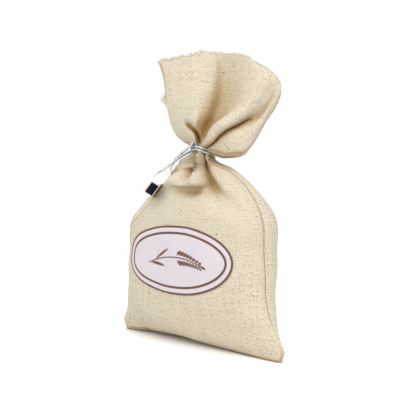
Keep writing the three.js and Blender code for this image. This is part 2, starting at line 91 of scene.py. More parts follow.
def node(tree: NodeTree, kind: str, inputs: dict, **options: object) -> Node:
    """Adds a node.

    Args:
        tree: the node tree.
        kind: the node's type name, without the ShaderNode prefix.
        inputs: what its inputs take, as in feed.
        options: the node's own options.

    Returns:
        The new node.
    """
    made = tree.nodes.new("ShaderNode" + kind)
    for option, value in options.items():
        setattr(made, option, value)
    feed(made, inputs)
    return made


def new_material(name: str) -> tuple[Material, NodeTree, Node]:
    """Starts a material.

    Args:
        name: the name of the real material.

    Returns:
        The material, its node tree and its shader node.
    """
    material = bpy.data.materials.new(name)
    material.use_nodes = True
    return material, material.node_tree, material.node_tree.nodes["Principled BSDF"]


def ease(value: Array, start: float, end: float) -> Array:
    """Gives the smooth step from 0 at start to 1 at end, 3t squared less 2t cubed."""
    t = np.clip((value - start) / (end - start), 0.0, 1.0)
    return t * t * (3.0 - 2.0 * t)


def between(value: Array, start: float, full: float, ebb: float, end: float) -> Array:
    """Rises by a smooth step from 0 at start to 1 at full, and falls from 1 at ebb to 0 at end."""
    return ease(value, start, full) * ease(value, end, ebb)


def bell(value: Array, middle: Array | float, width: Array | float) -> Array:
    """Gives the bell curve exp(-((value - middle) / width) squared)."""
    return np.exp(-(((value - middle) / width) ** 2))


def unit(vectors: Array) -> Array:
    """Scales the vectors on the last axis to length 1."""
    return vectors / np.linalg.norm(vectors, axis=-1, keepdims=True)


def way_along(path: Array) -> Array:
    """Measures the way along a path to each of its points."""
    return np.concatenate([[0.0], np.cumsum(np.linalg.norm(np.diff(path, axis=0), axis=-1))])


def read_path(path: Array, places: Array, at: Array) -> Array:
    """Reads a path, whose points lie at rising places, at other places, straight between its points."""
    return np.stack([np.interp(at, places, path[:, axis]) for axis in range(3)], axis=-1)


def full_turn(steps: int) -> Array:
    """Splits a full turn into equal steps, in radians from 0."""
    return np.linspace(0.0, 2.0 * math.pi, steps, endpoint=False)


def curve_weights(at: Array, knots: Array) -> Array:
    """Works out the weights that carry values at knots to a smooth curve through them.

    Each piece is a cubic with the knots' values and, at its ends, the slope between the knots on both sides.

    Args:
        at: the places to read, any shape.
        knots: rising places of the given values.

    Returns:
        Weights of the shape of at with one more axis, the knots.
    """
    eye = np.eye(len(knots))
    before = np.maximum(np.arange(len(knots)) - 1, 0)
    after = np.minimum(np.arange(len(knots)) + 1, len(knots) - 1)
    slopes = (eye[after] - eye[before]) / (knots[after] - knots[before])[:, None]
    left = np.clip(np.searchsorted(knots, at) - 1, 0, len(knots) - 2)
    step = (knots[left + 1] - knots[left])[..., None]
    t = (at[..., None] - knots[left][..., None]) / step
    start = (2 * t ** 3 - 3 * t ** 2 + 1) * eye[left] + (t ** 3 - 2 * t ** 2 + t) * step * slopes[left]
    end = (3 * t ** 2 - 2 * t ** 3) * eye[left + 1] + (t ** 3 - t ** 2) * step * slopes[left + 1]
    return start + end


def grid_faces(rows: int, columns: int, closed: bool = False) -> Array:
    """Numbers the four-sided faces of a grid of points laid row by row.

    Args:
        rows: rows of points.
        columns: points in a row.
        closed: whether each row's end joins its start.

    Returns:
        An array of faces by 4 point numbers.
    """
    across = np.arange(columns if closed else columns - 1)
    up = np.arange(rows - 1)[:, None] * columns
    here = up + across
    beside = up + (across + 1) % columns
    return np.stack([here, beside, beside + columns, here + columns], axis=-1).reshape(-1, 4)


def tube_faces(rings: int, corners: int) -> list[list[int]]:
    """Numbers the faces of closed rings of points, followed by one point that closes each end.

    Args:
        rings: how many rings.
        corners: points in a ring, which turn to the left seen against the way from ring to ring.

    Returns:
        The faces, which all look out.
    """
    here = np.arange(corners)
    beside = (here + 1) % corners
    last = (rings - 1) * corners
    tip = np.full(corners, rings * corners)
    start = np.stack([beside, here, tip], axis=-1)
    end = np.stack([here + last, beside + last, tip + 1], axis=-1)
    return grid_faces(rings, corners, closed=True).tolist() + start.tolist() + end.tolist()


def spokes(along: Array, lean: Array, turn: Array) -> Array:
    """Gives directions that stand round a path, square to it, and turn to the right seen against its way.

    Each is the cosine of its angle times the side plus its sine times the way over, both from cross products.

    Args:
        along: the path's direction at each point, points by 3.
        lean: a direction that the quarter turn leans to.
        turn: angles in radians.

    Returns:
        Directions of length 1, points by angles by 3.
    """
    side = unit(np.cross(along, lean))
    over = unit(np.cross(side, along))
    return side[:, None] * np.cos(turn)[:, None] + over[:, None] * np.sin(turn)[:, None]


def sweep(path: Array, reach: Array, lean: Array) -> tuple[Array, list[list[int]]]:
    """Carries a round profile along a path and closes its ends with a point each.

    Args:
        path: points by 3.
        reach: the profile's radius at each path point and corner, points by corners.
        lean: a direction that the profile's quarter turn leans to.

    Returns:
        The points and the faces.
    """
    corners = reach.shape[1]
    ring = spokes(unit(np.gradient(path, axis=0)), lean, full_turn(corners))
    body = path[:, None] + ring * reach[..., None]
    points = np.concatenate([body.reshape(-1, 3), path[:1], path[-1:]])
    return points, [face[::-1] for face in tube_faces(len(path), corners)]


def threads(roots: Array, tips: Array, radius: float) -> tuple[Array, Array]:
    """Makes many straight three-sided thread ends that taper to two fifths of their radius.

    Args:
        roots: where they start, threads by 3.
        tips: where they end, threads by 3.
        radius: their radius at the start.

    Returns:
        The points and the faces of all threads.
    """
    along = tips - roots
    off_any_thread = np.array([0.31, 0.52, 0.79])
    ring = spokes(along, off_any_thread, np.radians([90.0, 210.0, 330.0]))
    way = np.array([0.0, 0.5, 1.0])[:, None, None]
    points = roots[:, None, None] + along[:, None, None] * way + ring[:, None] * radius * (1.0 - 0.6 * way)
    faces = grid_faces(3, 3, closed=True)[:, ::-1] + 9 * np.arange(len(roots))[:, None, None]
    return points.reshape(-1, 3), faces.reshape(-1, 4)


def make_piece(name: str, points: Array, faces: Array | list[list[int]],
               uv: Array | None = None) -> Object:
    """Makes a smooth mesh object at the origin.

    Args:
        name: the piece's name.
        points: its points in millimetres, points by 3.
        faces: point numbers of each face, three or four.
        uv: the flat place of each point, for patterns that follow the surface.

    Returns:
        The new object, linked into the scene.
    """
    mesh = bpy.data.meshes.new(name)
    mesh.from_pydata((points * MM).tolist(), [], [list(face) for face in faces])
    mesh.polygons.foreach_set("use_smooth", np.ones(len(faces), dtype=bool))
    if uv is not None:
        layer = mesh.uv_layers.new(name="Flat")
        layer.data.foreach_set("uv", uv[faces.reshape(-1)].astype(np.float32).ravel())
    mesh.update()
    piece = bpy.data.objects.new(name, mesh)
    bpy.context.scene.collection.objects.link(piece)
    return piece


def thicken(piece: Object, thickness: float) -> None:
    """Gives a surface its thickness, in from the side that is seen.

    Args:
        piece: the surface.
        thickness: how thick, in millimetres.
    """
    wall = piece.modifiers.new("thickness", "SOLIDIFY")
    wall.thickness = thickness * MM
    wall.offset = -1.0


def seat(piece: Object, slot: str, finish: Material, *nodes: str) -> None:
    """Dresses a piece, rides it on the bag and says which nodes it stands for.

    Args:
        piece: the piece.
        slot: the record's material slot; not used.
        finish: the material.
        nodes: the CAD nodes that it replaces, if any.
    """
    piece.data.materials.append(finish)
    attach(piece, BAG_BODY)
    if nodes:
        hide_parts(*nodes)
    LOG.info("%s: %d faces", piece.name, len(piece.data.polygons))


@dataclass(frozen=True)
class Calico:
    """Unbleached plain-weave cotton: matt, cream, with slubby threads and brown seed flecks."""

    name: str = "unbleached_cotton_calico"
    light: str = "f1e6cf"
    dark: str = "c2b089"
    # Painted fold shade: the warm dark colour that occlusion mixes into the cloth in its folds
    fold: str = "c6a468"
    fold_shade_mm: float = 17.0
    open_air: tuple[float, float] = (0.25, 0.9)
    thread_mm: float = 0.9
    wander_apart_mm: float = 20 / 7
    wander_mm: float = 0.9
    slub_mm: float = 14.0
    slub_share: float = 0.9
    fuzz_mm: float = 1.0
    fuzz_share: float = 2.4
    tones: tuple[float, float] = (2.1, 2.6)
    flecks: tuple[tuple[str, float], ...] = (("a9743c", 10.0), ("6d5a45", 7.0))
    rare_from: float = 0.3
    fleck_size: float = 0.06
    fleck_edge: float = 0.03
    bump: float = 0.5
    bump_mm: float = 0.2
    roughness: float = 0.95
    sheen: float = 0.15
    specular: float = 0.2

    def build(self) -> Material:
        """Makes the material on the cloth's flat millimetres.

        Threads a real 0.5 mm apart are drawn at 0.9 mm, or they would not show. Their height is the absolute
        sine across the warp or the weft, whichever lies on top in that square of the weave. Deep in the
        folds, occlusion mixes in a darker warm colour: painted shade, for the warmer light passed from
        cloth to cloth.

        Returns:
            The material.
        """
        material, tree, shader = new_material(self.name)
        flat = node(tree, "UVMap", {}, uv_map="Flat")
        wander = node(tree, "TexNoise", {"Vector": flat, "Scale": 1 / self.wander_apart_mm, "Detail": 2.0})
        most = (self.wander_mm, self.wander_mm, 0.0)
        pushed = node(tree, "VectorMath", {0: wander.outputs["Color"], 1: most}, operation="MULTIPLY")
        wavy = node(tree, "VectorMath", {0: flat, 1: pushed}, operation="ADD")
        pitch = math.pi / self.thread_mm
        spread = node(tree, "VectorMath", {0: wavy, 1: (pitch, pitch, 0.0)}, operation="MULTIPLY")
        waves = node(tree, "VectorMath", {0: spread}, operation="SINE")
        across, up = node(tree, "SeparateXYZ", {0: waves}).outputs[:2]
        over = node(tree, "Math", {0: across, 1: up}, operation="MULTIPLY")
        warp = node(tree, "Math", {0: across}, operation="ABSOLUTE")
        weft = node(tree, "Math", {0: up}, operation="ABSOLUTE")
        on_top = node(tree, "Math", {0: over, 1: 0.0}, operation="GREATER_THAN")
        weave = node(tree, "Mix", {0: on_top, 2: warp, 3: weft})
        slubs = []
        fine, long = 1 / self.thread_mm, 1 / self.slub_mm
        for stretch in ((fine, long, 0.0), (long, fine, 0.0)):
            drawn = node(tree, "VectorMath", {0: wavy, 1: stretch}, operation="MULTIPLY")
            slubs.append(node(tree, "TexNoise", {"Vector": drawn, "Scale": 1.0, "Detail": 1.0}))
        slub = node(tree, "Math", {0: slubs[0], 1: slubs[1]}, operation="ADD")
        fuzz = node(tree, "TexNoise", {"Vector": flat, "Scale": 1 / self.fuzz_mm, "Detail": 2.0})
        grain = node(tree, "Math", {0: fuzz, 1: self.fuzz_share, 2: weave}, operation="MULTIPLY_ADD")
        height = node(tree, "Math", {0: slub, 1: self.slub_share, 2: grain}, operation="MULTIPLY_ADD")
        tone = node(tree, "MapRange", {0: height, 1: self.tones[0], 2: self.tones[1]})
        cloth = node(tree, "Mix", {0: tone, 6: linear(self.dark), 7: linear(self.light)}, data_type="RGBA")
        # Painted shade: occlusion within a fold's reach darkens and warms the cloth's colour
        near = node(tree, "AmbientOcclusion", {"Distance": self.fold_shade_mm * MM}, samples=12, only_local=True)
        lit = node(tree, "MapRange", {0: near.outputs["AO"], 1: self.open_air[0], 2: self.open_air[1]})
        painted_fold_shade = node(tree, "Mix", {0: lit, 6: linear(self.fold), 7: WHITE}, data_type="RGBA")
        colour = node(tree, "Mix", {0: 1.0, 6: cloth, 7: painted_fold_shade}, data_type="RGBA", blend_type="MULTIPLY")
        for tint, apart in self.flecks:
            cells = node(tree, "TexVoronoi", {"Vector": wavy, "Scale": 1 / apart}, voronoi_dimensions="2D")
            rare = node(tree, "SeparateColor", {0: cells.outputs["Color"]})
            size = node(tree, "MapRange", {0: rare, 1: self.rare_from, 2: 1.0, 4: self.fleck_size})
            inside = node(tree, "Math", {0: size, 1: cells.outputs["Distance"]}, operation="SUBTRACT")
            shown = node(tree, "MapRange", {0: inside, 1: 0.0, 2: self.fleck_edge})
            colour = node(tree, "Mix", {0: shown, 6: colour, 7: linear(tint)}, data_type="RGBA")
        bump = node(tree, "Bump", {"Strength": self.bump, "Distance": self.bump_mm * MM, "Height": height})
        feed(shader, {"Base Color": colour, "Normal": bump, "Roughness": self.roughness})
        feed(shader, {"Sheen Weight": self.sheen, "Specular IOR Level": self.specular})
        return material


@dataclass(frozen=True)
class Plain:
    """A finish of one colour with a fine grain that shifts its tone and roughens its surface."""

    name: str
    colour: str
    shade: str
    grain_mm: float
    roughness: float
    metallic: float = 0.0
    bump: float = 0.2
    bump_mm: float = 0.1

    def build(self) -> Material:
        """Makes the material on Object coordinates.

        Returns:
            The material.
        """
        material, tree, shader = new_material(self.name)
        place = node(tree, "TexCoord", {}).outputs["Object"]
        grain = node(tree, "TexNoise", {"Vector": place, "Scale": 1 / (self.grain_mm * MM), "Detail": 3.0})
        tones = {0: grain, 6: linear(self.shade), 7: linear(self.colour)}
        colour = node(tree, "Mix", tones, data_type="RGBA")
        bump = node(tree, "Bump", {"Strength": self.bump, "Distance": self.bump_mm * MM, "Height": grain})
        feed(shader, {"Base Color": colour, "Normal": bump})
        feed(shader, {"Roughness": self.roughness, "Metallic": self.metallic})
        return material


@dataclass(frozen=True)
class LabelPaper:
    """Coated label paper, smooth and pale lilac, printed in brown: two rings along its edge and a sprig."""

    name: str = "printed_label_paper"
    ground: str = "e9e0e6"
    ink: str = "6b4433"
    rings: tuple[tuple[float, float], ...] = ((0.0, 0.9), (2.6, 3.6))
    blur: float = 0.08
    grain_mm: float = 5 / 6
    bump: float = 0.12
    bump_mm: float = 0.1
    roughness: float = 0.55

    def build(self) -> Material:
        """Makes the material. Its second UV number is the distance in from the edge, and Ink marks the sprig.

        Returns:
            The material.
        """
        material, tree, shader = new_material(self.name)
        inset = node(tree, "SeparateXYZ", {0: node(tree, "UVMap", {}, uv_map="Flat")}).outputs[1]
        ink = node(tree, "Attribute", {}, attribute_name="Ink").outputs["Fac"]
        for start, end in self.rings:
            half = (end - start) / 2
            off = node(tree, "Math", {0: inset, 1: start + half}, operation="SUBTRACT")
            away = node(tree, "Math", {0: off}, operation="ABSOLUTE")
            ring = node(tree, "MapRange", {0: away, 1: half + self.blur, 2: half - self.blur})
            ink = node(tree, "Math", {0: ink, 1: ring}, operation="MAXIMUM")
        place = node(tree, "TexCoord", {}).outputs["Object"]
        grain = node(tree, "TexNoise", {"Vector": place, "Scale": 1 / (self.grain_mm * MM), "Detail": 2.0})
        colour = node(tree, "Mix", {0: ink, 6: linear(self.ground), 7: linear(self.ink)}, data_type="RGBA")
        bump = node(tree, "Bump", {"Strength": self.bump, "Distance": self.bump_mm * MM, "Height": grain})
        feed(shader, {"Base Color": colour, "Normal": bump, "Roughness": self.roughness})
        return material


@dataclass(frozen=True)
class Card:
    """Coated card of one tag leaf: white, with a dark printed block low on its faces, and a tan core.

    The card glows in its own colour: painted light, in place of light shining through the thin card, keeps
    its shaded face white.
    """

    name: str
    corner: Array
    down: Array
    out: Array
    block: tuple[float, float]
    white: str = "eef2fa"
    printed: str = "141c2e"
    lining: str = "c9a877"
    core: float = 0.15
    painted_glow: float = 0.6
    roughness: float = 0.5

    def build(self) -> Material:
        """Makes the material on Object coordinates, measured from a corner of the leaf down it and out of it.

        Returns:
            The material.
        """
        material, tree, shader = new_material(self.name)
        place = node(tree, "TexCoord", {}).outputs["Object"]
        off = node(tree, "VectorMath", {0: place, 1: tuple(self.corner * MM)}, operation="SUBTRACT")
        low = node(tree, "VectorMath", {0: off, 1: tuple(self.down)}, operation="DOT_PRODUCT")
        high = node(tree, "VectorMath", {0: off, 1: tuple(self.out)}, operation="DOT_PRODUCT")
        start, end = (edge * MM for edge in self.block)
        middle, half = (start + end) / 2, (end - start) / 2
        in_block = node(tree, "Math", {0: low, 1: middle, 2: half}, operation="COMPARE")
        core = node(tree, "Math", {0: high, 1: 0.0, 2: self.core * MM}, operation="COMPARE")
        tones = {0: in_block, 6: linear(self.white), 7: linear(self.printed)}
        face = node(tree, "Mix", tones, data_type="RGBA")
        colour = node(tree, "Mix", {0: core, 6: face, 7: linear(self.lining)}, data_type="RGBA")
        # Painted light: the card glows in its own colour, so its shaded faces stay white
        feed(shader, {"Base Color": colour, "Emission Color": colour})
        feed(shader, {"Emission Strength": self.painted_glow, "Roughness": self.roughness})
        return material


@dataclass(frozen=True)
class Hinge:
    """A hinge of the frame: a point on its axis, the axis, and how far it opens in radians."""

    place: Array
    axis: Array
    most: float

    @classmethod
    def named(cls, name: str) -> "Hinge":
        """Reads a hinge from the frame.

        Args:
            name: the joint's name.

        Returns:
            The hinge.
        """
        joint = next(each for each in frame["joints"] if each["name"] == name)
        most = math.radians(joint["range_deg"][1])
        return cls(np.array(joint["pos_m"]) / MM, np.array(joint["axis"]), most)


@dataclass
class Tag:
    """The folded card tag, whose CAD leaves keep their shape. Down a leaf is the way of the fold's axis."""

    swing: Hinge = field(default_factory=lambda: Hinge.named("tag_swing"))
    fold: Hinge = field(default_factory=lambda: Hinge.named("tag_fold"))
    cover_opening: float = 14.0
    cover_middle: float = 0.2
    width: float = 13.0
    length: float = 16.5
    hole_inset: float = 2.6
    cover_from: float = 2.6
    back_block: tuple[float, float] = (7.0, 15.0)
    cover_block: tuple[float, float] = (8.6, 15.0)
    clearance: float = 0.6
    fade: float = 2.2
    near_fade: float = 1.2
    swing_steps: int = 3

    def inward(self) -> tuple[Array, Array]:
        """Works out the directions into the cloth, the cover's turned on from the back leaf's by the opening.

        Returns:
            The directions out of the back leaf and out of the cover leaf.
        """
        back = np.cross(self.fold.axis, self.swing.axis)
        opening = math.radians(self.cover_opening)
        return back, back * math.cos(opening) - self.swing.axis * math.sin(opening)

    def cleared(self, points: Array, origin: Array, ways: tuple[Array, Array],
                ends: tuple[float, float], sides: tuple[float, float], fade: float) -> Array:
        """Pushes points back behind a leaf at one place, which fades out within a short way round the leaf.

        Args:
            points: points of the cloth, on a last axis of 3.
            origin: a point in the leaf's plane.
            ways: the directions down the leaf, and out of it into the cloth.
            ends: where the leaf begins and ends, down from the origin.
            sides: where it begins and ends, across.
            fade: how far round the leaf the cloth is still pushed back.

        Returns:
            The points behind the leaf.
        """
        down, inward = ways
        offset = points - origin
        along = offset @ down
        across = offset @ np.cross(down, inward)
        past_end = np.maximum(ends[0] - along, along - ends[1])
        beside = np.maximum(past_end, np.maximum(sides[0] - across, across - sides[1]))
        short = np.clip(self.clearance - offset @ inward, 0.0, None)
        return points + (short * ease(beside, fade, 0.2))[..., None] * inward

    def make_room(self, points: Array) -> Array:
        """Lays cloth behind the tag and leaves room for its motion.

        The cloth is pushed back behind the back leaf, behind the leaf's upper end at steps of its swing, and
        behind the cover leaf where it is opened fully.

        Args:
            points: points of the cloth, on a last axis of 3.

        Returns:
            The points, of which none stands through a leaf.
        """
        hole, down = self.swing.place, self.fold.axis
        back, cover = self.inward()
        sides = (-self.width / 2.0, self.width / 2.0)
        end = self.length - self.hole_inset
        points = self.cleared(points, hole, (down, back), (-self.hole_inset, end), sides, self.fade)
        for turn in self.swing.most * np.arange(1, self.swing_steps + 1) / self.swing_steps:
            lowered = down * math.cos(turn) - back * math.sin(turn)
            turned = back * math.cos(turn) + down * math.sin(turn)
            upper = (-self.hole_inset, 0.0)
            points = self.cleared(points, hole, (lowered, turned), upper, sides, self.near_fade)
        opened = cover * math.cos(self.fold.most) + np.cross(down, cover) * math.sin(self.fold.most)
        ends, beyond = (self.cover_from, end), (-self.width, 0.0)
        return self.cleared(points, self.fold.place, (down, -opened), ends, beyond, self.fade)

    def dress(self) -> None:
        """Gives each leaf a card finish of its own, which follows it when it swings or unfolds."""
        down = self.fold.axis
        back, cover = self.inward()
        middle = self.fold.place - self.cover_middle * cover
        cards = {
            "tag_back_leaf": Card("coated_card_back", self.swing.place, down, back, self.back_block),
            "tag_cover_leaf": Card("coated_card_cover", middle, down, cover, self.cover_block),
        }
        for name, card in cards.items():
            leaf = frame["nodes"][name]
            leaf.data.materials.clear()
            leaf.data.materials.append(card.build())
            LOG.info("%s: dressed", name)


class Side(Enum):
    """The bag's two cloth panels, each with its sign towards the front."""

    FRONT = 1.0
    BACK = -1.0


@dataclass
class Bag:
    """The calico bag: stuffed body, gathered neck and fanned ruffle, as a front and a back panel."""

    columns: int = 160
    body_rows: int = 100
    ruffle_rows: int = 56
    floor_rows: int = 14
    row_crowding: float = 1.35
    neck_height: float = 83.0
    neck_radius: float = 3.6
    neck_tilt: float = 2.2
    panel_width: float = 95.0
    front_cut: float = 138.0
    back_cut: float = 150.0
    ruffle_length: float = 43.3
    cloth: float = 0.5
    seam_depth: float = 0.9
    seam_width: float = 1.6
    seen_from: float = VIEW_HEADING
    seen_at: float = 280.0
    fan_turn: float = 25.0
    fan_left: float = -27.5
    flare: float = 58.0
    flare_power: float = 1.9
    roll_start: float = 0.86
    roll_rate: float = 13.0
    fringe_count: int = 380
    fringe_root: float = 0.3
    fringe_radius: float = 0.13
    fringe_spread: float = 0.14
    tag: Tag = field(default_factory=Tag)

    def profile(self, height: Array) -> Array:
        """Reads the body's section at a height.

        A smooth curve through stations: height, half width to the left and to the right, front swell, back
        swell, lean to the back, and the roundness of the section at the front left, at the front right and
        behind, which is low where the bottom corners are pointed.

        Args:
            height: heights over the base.

        Returns:
            What a station gives after its height, on a last axis.
        """
        stations = np.array([
            (0.0, 43.5, 49.4, 2.5, 14.0, -9.0, 1.5, 1.35, 1.35),
            (4.0, 45.6, 50.4, 5.0, 15.5, -8.6, 1.7, 1.4, 1.4),
            (8.5, 43.0, 47.2, 7.4, 17.0, -8.0, 2.2, 1.6, 1.6),
            (15.0, 40.2, 43.0, 10.0, 18.2, -7.0, 3.0, 2.1, 2.0),
            (24.0, 38.0, 39.8, 12.4, 19.4, -5.8, 4.0, 2.4, 2.35),
            (37.0, 36.4, 38.2, 14.0, 20.8, -4.6, 4.5, 2.6, 2.55),
            (54.0, 35.0, 36.4, 14.0, 21.0, -4.0, 4.0, 2.5, 2.65),
            (66.4, 20.4, 27.4, 11.6, 16.0, -2.0, 2.6, 2.1, 2.2),
            (75.5, 10.4, 14.2, 8.0, 9.6, 0.0, 2.0, 2.0, 2.0),
            (80.5, 4.8, 5.0, 4.6, 4.6, 0.0, 2.0, 2.0, 2.0),
            (83.0, 3.6, 3.6, 3.6, 3.6, 0.0, 2.0, 2.0, 2.0),
        ])
        return curve_weights(height, stations[:, 0]) @ stations[:, 1:]

    def folds(self, angle: Array, height: Array) -> Array:
        """Works out how far the gathers below the tie stand out of the body.

        Sums of bells: each is a ridge, a valley or a pit at an angle in degrees and a height.

        Args:
            angle: the angle round the bag in degrees, 0 at the left seam and 90 in front.
            height: the height over the base.

        Returns:
            The height of the folds, out of the body.
        """
        small_pleats = 0.5 * np.cos(np.radians(9.0 * angle + 70.0))
        out = small_pleats * bell(height, self.neck_height - 5.0, 8.0)
        # Upright folds: out, heights and angles of their line, and where they rise and end
        pleat = (5.0, (68.0, 71.0, 76.6, 82.4), (108.0, 108.0, 105.0, 116.0), (66.6, 70.0, 79.0, 84.0))
        valley = (-5.0, (60.0, 67.4, 71.8, 76.6, 82.0), (135.0, 124.0, 119.0, 116.5, 128.0),
                  (62.0, 71.0, 78.0, 83.0))
        for far, heights, angles, span in (pleat, valley):
            out = out + far * bell(angle, np.interp(height, heights, angles), 7.5) * between(height, *span)
        # Level folds left of the pleat: out, height and its spread, and the angles where they rise and end
        shelf = (4.0, 71.6 - 1.8 * bell(angle, 96.0, 18.0), 2.1, (46.0, 84.0, 110.0, 121.0))
        upper_roll = (3.0, 75.8, 1.2, (50.0, 68.0, 92.0, 102.0))
        hollow = (-5.6, 79.0, 2.6, (44.0, 66.0, 92.0, 108.0))
        crease = (-2.6, 77.5 + 0.03 * (angle - 80.0), 0.8, (58.0, 74.0, 96.0, 106.0))
        for far, middle, spread, span in (shelf, upper_roll, hollow, crease):
            out = out + far * bell(height, middle, spread) * between(angle, *span)
        # The long hollow under the gathers: its height and depth along the angle
        under_at = np.interp(angle, (50.0, 80.0, 96.0, 108.0, 118.0, 127.0, 136.0, 148.0, 158.0),
                             (67.6, 66.2, 65.4, 65.6, 66.0, 65.2, 62.4, 58.8, 56.0))
        depth = np.interp(angle, (50.0, 80.0, 100.0, 110.0, 119.0, 128.0, 138.0, 150.0, 164.0),
                          (0.0, 1.2, 1.9, 2.3, 3.8, 4.4, 3.2, 1.8, 0.0))
        out = out - depth * bell(height, under_at, 2.2 + 2.2 * ease(angle, 108.0, 130.0))
        # Round spots: out, angle and its spread, height and its spread
        pit = (-3.8, 94.0, 7.0, 73.8, 1.6)
        puff = (6.8, 19.0, 27.0, 76.2, 3.6)
        shoulder = (5.6, 42.0, 26.0, 68.2, 5.8)
        gap = (-2.4, 154.0, 9.0, 79.2, 1.1)
        ear = (1.4, 24.0, 12.0, 5.0, 4.5)
        for far, across, breadth, middle, spread in (pit, puff, shoulder, gap, ear):
            out = out + far * bell(angle, across, breadth) * bell(height, middle, spread)
        return out - 2.2 * bell(angle, 40.0 - 1.2 * height, 4.5) * ease(height, 10.0, 4.0)

    def seams(self, height: Array) -> tuple[Array, Array]:
        """Says where the side seams lie, as angles round the bag.

        On the shoulder the left seam comes forward of the widest line. At the tie the right seam swings to
        the front, and it leaves along the underside of the ruffle's right lobe.

        Args:
            height: heights over the base, in the ruffle along its threads.

        Returns:
            The left and the right seam's angle in radians.
        """
        left = np.interp(height, (18.0, 27.0, 33.0, 38.0, 42.0, 46.0, 50.0, 54.0, 64.0, 70.0, 77.0),
                         (0.0, 0.2, 1.2, 4.5, 11.0, 23.0, 40.0, 56.0, 58.0, 46.0, 0.0))
        right = np.interp(height, (20.0, 40.0, 56.0, 64.0, 67.0, 71.0, 73.5, 75.0, 77.0, 79.5, 82.0, 83.5,
                                   85.0, 87.0, 90.0, 97.0, 126.0),
                          (0.0, 0.4, 0.5, 0.0, 0.0, 2.0, 6.0, 16.0, 36.0, 52.0, 59.0, 57.0,
                           44.0, 28.0, 16.0, 9.0, 4.0))
        return np.radians(left), np.radians(180.0 - right)

    def body_points(self, angle: Array, height: Array) -> Array:
        """Places points of the stuffed body.

        The section is a superellipse whose half width, swells and roundness follow the height. Folds and
        lumps push it out, a seam draws it in at both sides, the cloth turns under at the base, and the base's
        front edge and corners are lifted off the floor.

        Args:
            angle: the angle round the bag in radians.
            height: the height over the base.

        Returns:
            Points, on a last axis of 3.
        """
        left, right, front, back, lean, *rounds = np.moveaxis(self.profile(height), -1, 0)
        cosine, sine = np.cos(angle), np.sin(angle)
        half = np.where(cosine >= 0.0, left, right)
        front_round = rounds[1] + (rounds[0] - rounds[1]) * ease(cosine, -0.5, 0.5)
        power = 2.0 / np.where(sine >= 0.0, front_round, rounds[2])
        swell = np.where(sine >= 0.0, front, back)
        x = -half * np.sign(cosine) * np.abs(cosine) ** power
        y = lean - swell * np.sign(sine) * np.abs(sine) ** power
        round_under = 2.6 * np.clip(1.0 - height / 5.0, 0.0, 1.0) ** 2
        lumps = 0.35 * np.sin(0.21 * x + 0.17 * height + 1.0) * np.sin(0.16 * height - 0.12 * x + 0.4)
        whole = 2.0 * math.pi
        from_seam = half * np.minimum.reduce([np.abs(angle - place - turns) for place in self.seams(height)
                                              for turns in (0.0, whole)])
        seam = -self.seam_depth * np.exp(-from_seam / self.seam_width) * ease(height, self.neck_height, 79.0)
        turned = (np.degrees(angle) + 90.0) % 360.0 - 90.0
        out = self.folds(turned, height) + lumps * ease(height, 0.0, 15.0) + seam - round_under * np.abs(sine)
        sag = 1.6 * bell(height, 70.0, 2.4) * between(turned, 50.0, 84.0, 110.0, 120.0)
        lift = 2.3 * bell(turned, 62.0, 52.0) * ease(turned, 4.0, 24.0) * ease(height, 14.0, 0.0)
        lift = lift + 0.7 * bell(turned, 132.0, 26.0) * ease(height, 9.0, 0.0)
        corners = bell(turned, 0.0, 26.0) + bell(turned, 180.0, 26.0)
        lift = lift + self.cloth * corners * ease(height, 6.0, 0.0)
        return np.stack([x - cosine * out, y - sine * out, height - sag + lift], axis=-1)

    def fan(self, side: Side) -> Array:
        """Lists the ruffle's folds from the left seam to the right.

        Args:
            side: the panel.

        Returns:
            Rows of: share of the panel's width, shares of the fan near the neck, half way and at the rim, and
            heights of the fold near the neck, half way and at the rim.
        """
        if side is Side.FRONT:
            return np.array([
                (0.0, 0.0, 0.0, 0.0, 0.0, 0.0, 0.0),
                (0.08, 0.05, 0.06, 0.06, 2.4, 2.2, 1.2),
                (0.17, 0.12, 0.13, 0.14, 4.2, 4.0, 2.6),
                (0.27, 0.205, 0.215, 0.23, 5.0, 5.0, 3.5),
                (0.37, 0.305, 0.325, 0.335, 5.4, 4.6, 3.6),
                (0.41, 0.395, 0.42, 0.4, 1.4, 1.9, 1.8),
                (0.45, 0.49, 0.52, 0.455, -3.6, -3.0, -0.6),
                (0.475, 0.56, 0.625, 0.535, -3.0, -0.8, 0.8),
                (0.495, 0.54, 0.695, 0.61, 7.4, 5.6, 3.4),
                (0.54, 0.6, 0.742, 0.71, 9.4, 9.0, 6.0),
                (0.61, 0.66, 0.795, 0.8, 8.0, 8.0, 6.8),
                (0.655, 0.696, 0.836, 0.865, 2.0, 4.9, 6.0),
                (0.672, 0.696, 0.852, 0.885, -0.6, 4.0, 5.4),
                (0.7, 0.692, 0.868, 0.905, 4.0, 3.4, 4.8),
                (0.78, 0.77, 0.905, 0.94, 5.8, 4.8, 3.8),
                (0.87, 0.87, 0.95, 0.97, 5.4, 4.2, 2.2),
                (0.94, 0.945, 0.98, 0.99, 4.0, 2.2, 1.0),
                (1.0, 1.0, 1.0, 1.0, -3.0, -1.5, -1.0),
            ])
        return np.array([
            (0.0, 0.0, 0.0, 0.0, 0.0, 0.0, 0.0),
            (0.14, 0.12, 0.12, 0.12, 3.4, 4.0, 3.5),
            (0.28, 0.26, 0.26, 0.27, 2.0, 2.4, 3.0),
            (0.42, 0.42, 0.42, 0.43, 5.4, 6.0, 6.2),
            (0.56, 0.56, 0.56, 0.57, 5.2, 5.0, 4.4),
            (0.7, 0.72, 0.72, 0.73, 4.2, 5.4, 5.6),
            (0.84, 0.86, 0.87, 0.88, 1.0, 3.0, 4.2),
            (1.0, 1.0, 1.0, 1.0, 3.0, 1.5, 1.0),
        ])

